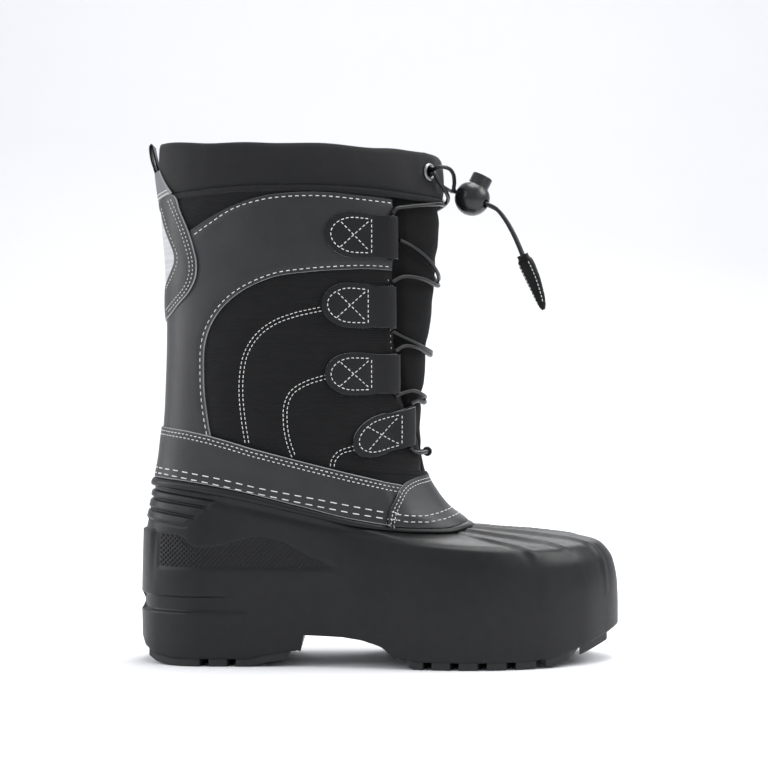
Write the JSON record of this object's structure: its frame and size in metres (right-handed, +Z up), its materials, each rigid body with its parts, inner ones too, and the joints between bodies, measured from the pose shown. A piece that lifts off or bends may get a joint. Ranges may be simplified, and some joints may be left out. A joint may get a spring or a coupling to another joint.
{
  "type": "snow boot",
  "caption": "Mid-calf lace-up snow boot, right foot: moulded rubber shell and treaded sole, insulated leather and fabric shaft, lace loops, drawcord collar with cord lock.",
  "frame": {"origin": "on the floor under the middle of the boot's own box, without the free drawcord and its lock", "axes": "+Z up, +X towards the toe, +Y towards the inner side of the foot"},
  "size_m": [0.2866, 0.1056, 0.308],
  "materials": {
    "rubber": "satin moulded rubber",
    "leather": "smooth fine-grained leather",
    "loop_leather": "smooth leather with pale stitching",
    "woven_fabric": "ribbed woven nylon",
    "insole_felt": "brushed felt",
    "elastic_cord": "braided elastic cord",
    "eyelet_metal": "bright plated metal",
    "lock_plastic": "satin plastic"
  },
  "bodies": {
    "boot": {"sole_shell": "rubber", "insole": "insole_felt", "upper": "leather", "tongue": "woven_fabric", "collar": "woven_fabric", "heel_patch": "leather", "pull_tab": "leather", "eyelet_outer": "eyelet_metal", "eyelet_inner": "eyelet_metal", "drawcord_outer": "elastic_cord", "drawcord_inner": "elastic_cord", "lace_cross_top": "elastic_cord", "lace_cross_12": "elastic_cord", "lace_cross_23": "elastic_cord", "lace_cross_34": "elastic_cord", "lace_bar_bottom": "elastic_cord", "lace_keeper": "loop_leather", "toggle_body": "lock_plastic", "cord_tab": "loop_leather", "lace_loop_outer_1": "loop_leather", "lace_loop_outer_2": "loop_leather", "lace_loop_outer_3": "loop_leather", "lace_loop_outer_4": "loop_leather", "lace_loop_inner_1": "loop_leather", "lace_loop_inner_2": "loop_leather", "lace_loop_inner_3": "loop_leather", "lace_loop_inner_4": "loop_leather"},
    "lock_button": {"toggle_button": "lock_plastic"}
  },
  "joints": [
    {"name": "lock_press", "type": "slide", "parent": "boot", "child": "lock_button", "axis": [-0.4346, -0.0343, -0.9], "range_m": [0, 0.003], "stiffness_N_per_m": 300, "springref_m": -0.004}
  ]
}
